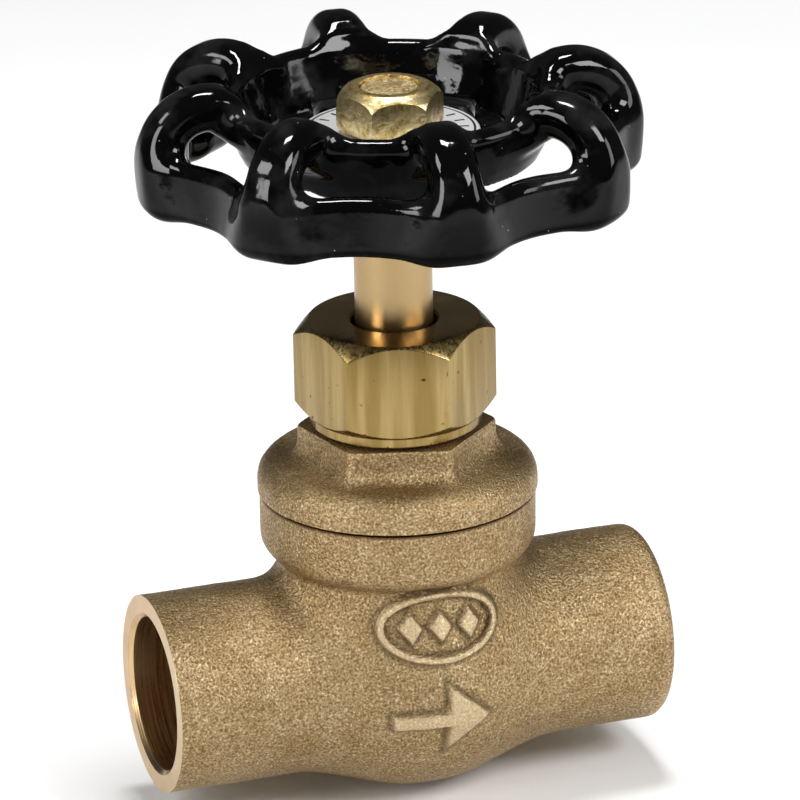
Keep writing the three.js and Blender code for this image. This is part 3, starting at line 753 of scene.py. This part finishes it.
class Shader:
    """A small helper that adds nodes and links them."""

    def __init__(self, name):
        self.material = bpy.data.materials.new(name)
        self.material.use_nodes = True
        self.nodes = self.material.node_tree.nodes
        self.links = self.material.node_tree.links
        self.surface = self.nodes["Principled BSDF"]
        self.place = self.nodes.new("ShaderNodeTexCoord").outputs["Object"]

    def set(self, **values):
        """Sets constant values on the surface's own sockets."""
        for name, value in values.items():
            self.surface.inputs[name.replace("_", " ")].default_value = value

    def link(self, output, node, name):
        """Links an output to a node's input of that name."""
        self.links.new(output, node.inputs[name])

    def stretched(self, scale):
        """The object's own coordinates, scaled along X, Y and Z."""
        node = self.nodes.new("ShaderNodeMapping")
        node.inputs["Scale"].default_value = scale
        self.link(self.place, node, "Vector")
        return node.outputs["Vector"]

    def noise(self, size_mm, detail=2.0, roughness=0.5, place=None, distortion=0.0):
        """Noise with features of about this size."""
        node = self.nodes.new("ShaderNodeTexNoise")
        node.inputs["Scale"].default_value = 1.0 / (size_mm * MM)
        node.inputs["Detail"].default_value = detail
        node.inputs["Roughness"].default_value = roughness
        node.inputs["Distortion"].default_value = distortion
        self.link(place or self.place, node, "Vector")
        return node.outputs["Fac"]

    def cells(self, size_mm):
        """Outputs of a cell texture with cells of about this size."""
        node = self.nodes.new("ShaderNodeTexVoronoi")
        node.inputs["Scale"].default_value = 1.0 / (size_mm * MM)
        self.link(self.place, node, "Vector")
        return node.outputs

    def ramp(self, fac, *stops):
        """A colour ramp over (position, colour) stops."""
        node = self.nodes.new("ShaderNodeValToRGB")
        elements = node.color_ramp.elements
        while len(elements) < len(stops):
            elements.new(0.5)
        for element, (position, colour) in zip(elements, stops):
            element.position = position
            element.color = (*colour, 1.0)
        self.link(fac, node, "Fac")
        return node.outputs["Color"]

    def mix(self, fac, a, b, blend="MIX"):
        """Mixes two colours, each a constant or an output."""
        node = self.nodes.new("ShaderNodeMix")
        node.data_type = "RGBA"
        node.blend_type = blend
        colour_a, colour_b, mixed_colour = 6, 7, 2  # places of the node's colour sockets
        for value, name in ((fac, "Factor"), (a, colour_a), (b, colour_b)):
            socket = node.inputs[name]
            if isinstance(value, bpy.types.NodeSocket):
                self.links.new(value, socket)
            else:
                socket.default_value = (*value, 1.0) if isinstance(value, tuple) else value
        return node.outputs[mixed_colour]

    def math(self, operation, a, b=0.0):
        """A sum on one or two values, each a constant or an output."""
        node = self.nodes.new("ShaderNodeMath")
        node.operation = operation
        for value, socket in zip((a, b), node.inputs):
            if isinstance(value, bpy.types.NodeSocket):
                self.links.new(value, socket)
            else:
                socket.default_value = value
        return node.outputs[0]

    def span(self, value, low, high, to_low=0.0, to_high=1.0):
        """Carries a value from one range over to another, and clamps it there."""
        node = self.nodes.new("ShaderNodeMapRange")
        for name, number in (("From Min", low), ("From Max", high), ("To Min", to_low), ("To Max", to_high)):
            node.inputs[name].default_value = number
        self.link(value, node, "Value")
        return node.outputs["Result"]

    def stored(self, name):
        """A value stored on the mesh, or 0 where there is none."""
        node = self.nodes.new("ShaderNodeAttribute")
        node.attribute_name = name
        return node.outputs["Fac"]

    def axes(self):
        """The object's own X, Y and Z."""
        node = self.nodes.new("ShaderNodeSeparateXYZ")
        self.link(self.place, node, "Vector")
        return node.outputs

    def from_stem(self):
        """Distance from the stem's axis."""
        x, y, z = self.axes()
        squares = self.math("ADD", self.math("MULTIPLY", x, x), self.math("MULTIPLY", y, y))
        return self.math("SQRT", squares)

    def facing_up(self):
        """1 where the surface faces up and -1 where it faces down."""
        normal = self.nodes.new("ShaderNodeNewGeometry").outputs["Normal"]
        parts = self.nodes.new("ShaderNodeSeparateXYZ")
        self.link(normal, parts, "Vector")
        return parts.outputs["Z"]

    def bump(self, height, depth_mm, strength=1.0, under=None):
        """A normal bent by a height, on top of another bump where one is given."""
        node = self.nodes.new("ShaderNodeBump")
        node.inputs["Distance"].default_value = depth_mm * MM
        node.inputs["Strength"].default_value = strength
        self.link(height, node, "Height")
        if under is not None:
            self.link(under, node, "Normal")
        return node.outputs["Normal"]

    def wear(self, **sockets):
        """Links textures to the surface's sockets and returns the material."""
        for name, output in sockets.items():
            self.link(output, self.surface, name.replace("_", " "))
        return self.material


def cast_brass():
    """Sand-cast brass: sparkling grain, darker in its pits, with faint stains, painted shade and painted
    highlights round the cast marks, and a painted dark line at the joint between body and bonnet.
    """
    shader = Shader("cast_brass")
    shader.set(Metallic=1.0)
    grain = shader.noise(0.24, 2.0, 0.55)
    stain = shader.noise(4.0, 3.0, 0.6)
    tone = shader.ramp(grain, (0.33, (0.21, 0.14, 0.062)), (0.47, (0.37, 0.265, 0.135)),
                       (0.60, (0.50, 0.37, 0.205)), (0.73, (0.80, 0.66, 0.44)))
    aged = shader.ramp(stain, (0.35, (0.84, 0.80, 0.72)), (0.65, (1.0, 1.0, 1.0)))
    colour = shader.mix(1.0, tone, aged, "MULTIPLY")
    # Painted shade round the foot of each cast mark, then a painted highlight on its raised top.
    colour = shader.mix(shader.math("MULTIPLY", shader.stored("corner"), 0.62), colour, (0.11, 0.075, 0.038))
    colour = shader.mix(shader.math("MULTIPLY", shader.stored("crest"), 0.40), colour, (0.95, 0.78, 0.52))
    # Painted shade: a dark reddish-brown band along the body-bonnet joint, standing in for the shade in the
    # groove between the two flanges' edges.
    seam = shader.math("ABSOLUTE", shader.math("SUBTRACT", shader.axes()["Z"], JOINT * MM))
    colour = shader.mix(shader.span(seam, 0.10 * MM, 0.32 * MM, 0.85, 0.0), colour, (0.09, 0.035, 0.012))
    rough = shader.span(grain, 0.3, 0.7, 0.58, 0.38)
    coarse = shader.bump(shader.noise(0.9, 2.0), 0.16, 0.6)
    fine = shader.bump(grain, 0.17, 1.0, coarse)
    return shader.wear(Base_Color=colour, Roughness=rough, Normal=fine)


def turned_brass():
    """Stem brass with fine rings left by the turning tool."""
    shader = Shader("turned_brass")
    shader.set(Metallic=1.0)
    rings = shader.noise(1.0, 4.0, 0.7, shader.stretched((0.05, 0.05, 9.0)))
    smudge = shader.noise(3.0, 3.0)
    colour = shader.mix(smudge, (0.37, 0.255, 0.115), (0.48, 0.345, 0.18))
    rough = shader.span(smudge, 0.3, 0.7, 0.27, 0.38)
    return shader.wear(Base_Color=colour, Roughness=rough, Normal=shader.bump(rings, 0.02, 0.5))


def bored_brass():
    """The reamed sockets: fine rings round the pipe's axis, tarnished towards red."""
    shader = Shader("bored_brass")
    shader.set(Metallic=1.0)
    rings = shader.noise(0.5, 4.0, 0.7, shader.stretched((2.2, 0.03, 0.03)))
    stain = shader.noise(5.0, 3.0, 0.6)
    tarnish = shader.mix(stain, (0.44, 0.24, 0.09), (0.66, 0.46, 0.25))
    colour = shader.mix(shader.span(rings, 0.42, 0.62), tarnish, (0.62, 0.48, 0.28))
    rough = shader.span(rings, 0.35, 0.65, 0.24, 0.36)
    return shader.wear(Base_Color=colour, Roughness=rough, Normal=shader.bump(rings, 0.03, 0.6))


def faced_brass():
    """Faced ends of the packing nut: smooth, with faint concentric tool marks and a few specks."""
    shader = Shader("faced_brass")
    shader.set(Metallic=1.0)
    ring_pitch = 0.35 * MM
    rings = shader.math("SINE", shader.math("MULTIPLY", shader.from_stem(), 2.0 * math.pi / ring_pitch))
    smudge = shader.noise(2.5, 3.0, 0.6)
    specks = shader.ramp(shader.noise(0.35, 1.0, 0.5), (0.76, (0.0, 0.0, 0.0)), (0.80, (1.0, 1.0, 1.0)))
    tone = shader.mix(smudge, (0.50, 0.32, 0.12), (0.66, 0.45, 0.19))
    colour = shader.mix(specks, tone, (0.95, 0.85, 0.65))
    rough = shader.span(smudge, 0.3, 0.7, 0.16, 0.26)
    return shader.wear(Base_Color=colour, Roughness=rough, Normal=shader.bump(rings, 0.002, 0.5))


def drawn_brass():
    """Drawn hexagon bar: lengthwise streaks down the flats, and a few pits."""
    shader = Shader("drawn_brass")
    shader.set(Metallic=1.0)
    streaks = shader.noise(0.35, 3.0, 0.6, shader.stretched((1.0, 1.0, 0.03)))
    wide = shader.noise(1.8, 2.0, 0.5, shader.stretched((1.0, 1.0, 0.08)))
    pits = shader.ramp(shader.noise(0.8, 2.0, 0.5), (0.70, (1.0, 1.0, 1.0)), (0.76, (0.30, 0.18, 0.10)))
    tone = shader.mix(streaks, (0.20, 0.13, 0.036), (0.32, 0.22, 0.075))
    tone = shader.mix(shader.span(wide, 0.4, 0.62), tone, (0.385, 0.28, 0.115))
    colour = shader.mix(1.0, tone, pits, "MULTIPLY")
    rough = shader.span(streaks, 0.35, 0.65, 0.22, 0.38)
    return shader.wear(Base_Color=colour, Roughness=rough, Normal=shader.bump(streaks, 0.03, 0.7))


def black_enamel():
    """Thick gloss enamel over a rough casting, with a little dust caught in it, and painted shade on its
    downward faces through a weaker specular level.
    """
    shader = Shader("black_enamel")
    shader.set(IOR=1.5)
    patches = shader.noise(5.0, 3.0, 0.6)
    coat = shader.mix(shader.span(patches, 0.50, 0.68), (0.0012, 0.0012, 0.0013), (0.010, 0.010, 0.0105))
    dust = shader.ramp(shader.cells(1.7)["Distance"], (0.025, (1.0, 1.0, 1.0)), (0.045, (0.0, 0.0, 0.0)))
    speck = shader.mix(dust, coat, (0.35, 0.35, 0.36))
    rough = shader.span(patches, 0.45, 0.7, 0.05, 0.14)
    waves = shader.noise(1.6, 2.0, 0.5)
    # Painted shade: faces that turn down get a weaker specular level, so the underside reflects less of the
    # pale floor and reads darker.
    specular_shade_below = shader.span(shader.facing_up(), -0.2, 0.35, 0.03, 0.32)
    return shader.wear(
        Base_Color=speck, Roughness=rough, Specular_IOR_Level=specular_shade_below, Normal=shader.bump(waves, 0.05, 0.5),
    )


def yellow_zinc():
    """Forged nut with yellow-passivated zinc plate."""
    shader = Shader("yellow_zinc")
    shader.set(Metallic=1.0)
    blotch = shader.noise(1.0, 5.0, 0.7)
    colour = shader.ramp(blotch, (0.36, (0.30, 0.20, 0.06)), (0.47, (0.70, 0.53, 0.23)),
                         (0.62, (1.0, 0.84, 0.48)))
    rough = shader.span(blotch, 0.3, 0.7, 0.42, 0.26)
    return shader.wear(Base_Color=colour, Roughness=rough, Normal=shader.bump(blotch, 0.16, 0.6))


def silver_plate():
    """Satin disc with a printed black ring and short index ticks."""
    shader = Shader("silver_plate")
    shader.set(Metallic=0.35, Roughness=0.34)
    x, y, z = shader.axes()
    radius = shader.math("DIVIDE", shader.from_stem(), MM)
    from_ring = shader.math("ABSOLUTE", shader.math("SUBTRACT", radius, 8.55))
    ring = shader.math("LESS_THAN", from_ring, 0.12)
    from_band = shader.math("ABSOLUTE", shader.math("SUBTRACT", radius, 7.4))
    band = shader.math("LESS_THAN", from_band, 0.55)
    angle = shader.math("ARCTAN2", y, x)
    across = shader.math("ABSOLUTE", shader.math("SINE", shader.math("MULTIPLY", angle, 12.0)))
    ticks = shader.math("MULTIPLY", band, shader.math("LESS_THAN", across, 0.28))
    ink = shader.math("MAXIMUM", ring, ticks)
    satin = shader.noise(0.3, 3.0, 0.6)
    metal = shader.mix(satin, (0.66, 0.67, 0.68), (0.84, 0.84, 0.84))
    colour = shader.mix(ink, metal, (0.012, 0.012, 0.012))
    return shader.wear(Base_Color=colour, Normal=shader.bump(satin, 0.02, 0.4))


def rough_end():
    """The stem's drive and tip, left rough."""
    shader = Shader("rough_end")
    shader.set(Metallic=1.0)
    swirl = shader.noise(0.9, 4.0, 0.7, distortion=2.5)
    colour = shader.ramp(swirl, (0.38, (0.26, 0.16, 0.05)), (0.48, (0.50, 0.37, 0.17)),
                         (0.60, (0.85, 0.70, 0.42)))
    rough = shader.span(swirl, 0.3, 0.7, 0.60, 0.36)
    return shader.wear(Base_Color=colour, Roughness=rough, Normal=shader.bump(swirl, 0.25, 0.8))


def soft_solid(name, dark, light, size_mm, roughness, depth_mm):
    """Rubber, fibre or graphite cord: a mottled, matt solid."""
    shader = Shader(name)
    shader.set(Roughness=roughness)
    mottle = shader.noise(size_mm, 4.0, 0.6)
    colour = shader.mix(mottle, dark, light)
    return shader.wear(Base_Color=colour, Normal=shader.bump(mottle, depth_mm, 0.7))


# ---------------------------------------------------------------- stage, light and camera

def make_floor():
    """A plain pale floor just under the valve."""
    reach = 3  # metres
    corners = [(-reach, -reach, 0), (reach, -reach, 0), (reach, reach, 0), (-reach, reach, 0)]
    floor = mesh_object("floor", corners, [(0, 1, 2, 3)])
    floor.location.z = cad_box[0].z - 0.0004
    shader = Shader("pale_floor")
    shader.set(Roughness=0.9)
    tone = shader.mix(shader.noise(40.0, 2.0), (0.93, 0.93, 0.93), (0.96, 0.96, 0.96))
    floor.data.materials.append(shader.wear(Base_Color=tone))


def soft_box(name, bearing, elevation, distance, size, radiance):
    """A panel that faces the valve. Its bearing is in degrees to the right of the camera."""
    angle = math.radians(bearing - 90.0 + CAMERA_AZIMUTH)
    rise = math.radians(elevation)
    middle = Vector((0.0, 0.0, 0.035))
    place = middle + distance * Vector((
        math.cos(angle) * math.cos(rise), math.sin(angle) * math.cos(rise), math.sin(rise),
    ))
    data = bpy.data.lights.new(name, "AREA")
    data.shape = "RECTANGLE"
    data.size, data.size_y = size
    data.energy = radiance * math.pi * size[0] * size[1]
    made = bpy.data.objects.new(name, data)
    made.location = place
    made.rotation_euler = (middle - place).to_track_quat("-Z", "Y").to_euler()
    bpy.context.scene.collection.objects.link(made)


def make_lights():
    """Soft boxes round a dim grey room: two high, two low and one overhead."""
    world = bpy.data.worlds.new("studio")
    world.use_nodes = True
    background = world.node_tree.nodes["Background"]
    background.inputs["Color"].default_value = (0.95, 0.97, 1.0, 1.0)
    background.inputs["Strength"].default_value = 0.06
    bpy.context.scene.world = world
    bpy.context.scene.view_settings.view_transform = "Standard"
    soft_box("right", 52.0, 38.0, 0.60, (0.24, 0.22), 13.5)
    soft_box("right_low", 78.0, 17.0, 0.62, (0.20, 0.24), 5.0)
    soft_box("left", -70.0, 42.0, 0.60, (0.18, 0.16), 11.0)
    soft_box("left_low", -50.0, 17.0, 0.62, (0.20, 0.26), 10.0)
    soft_box("overhead", 175.0, 80.0, 0.60, (0.20, 0.10), 46.0)


def make_camera():
    """A long lens that looks down on the valve, with the left socket turned towards it."""
    azimuth, elevation, roll = map(math.radians, (CAMERA_AZIMUTH, 20.99, -1.12))
    distance, aim_right, aim_up = 0.70, -0.000075, 0.02655  # metres
    level_part = math.cos(elevation)
    back = Vector((math.sin(azimuth) * level_part, -math.cos(azimuth) * level_part, math.sin(elevation)))
    level = Vector((math.cos(azimuth), math.sin(azimuth), 0.0))
    upright = back.cross(level)
    right = level * math.cos(roll) + upright * math.sin(roll)
    up = upright * math.cos(roll) - level * math.sin(roll)
    data = bpy.data.cameras.new("camera")
    data.sensor_width = 36.0
    data.lens = 303.4
    data.clip_start, data.clip_end = 0.01, 20.0
    camera = bpy.data.objects.new("camera", data)
    turn = Matrix((right, up, back)).transposed()
    place = back * distance + right * aim_right + up * aim_up
    camera.matrix_world = Matrix.Translation(place) @ turn.to_4x4()
    bpy.context.scene.collection.objects.link(camera)
    bpy.context.scene.camera = camera


# ---------------------------------------------------------------- assembly

make_camera()
make_floor()
make_lights()

cast = cast_brass()
turned = turned_brass()
drawn = drawn_brass()

make_body(cast, bored_brass())
make_bonnet(cast)
make_packing_nut(drawn, faced_brass())
make_stem(turned, rough_end())
make_wheel(black_enamel())
make_wheel_nut(yellow_zinc())
make_plate(silver_plate())

inner_finish = {
    "turned_brass": turned,
    "drawn_brass": drawn,
    "seat_rubber": soft_solid("seat_rubber", (0.015, 0.015, 0.015), (0.04, 0.04, 0.04), 0.6, 0.6, 0.02),
    "packing_cord": soft_solid("packing_cord", (0.02, 0.02, 0.022), (0.12, 0.12, 0.125), 0.5, 0.5, 0.1),
    "gasket_fibre": soft_solid("gasket_fibre", (0.20, 0.07, 0.045), (0.36, 0.15, 0.10), 0.4, 0.85, 0.04),
}
slot_of = {part["node"]: part["material_slot"] for part in frame["record"]["subparts"]}
for node, cad_object in frame["nodes"].items():
    if slot_of[node] in inner_finish:
        for material_slot in cad_object.material_slots:
            material_slot.material = inner_finish[slot_of[node]]
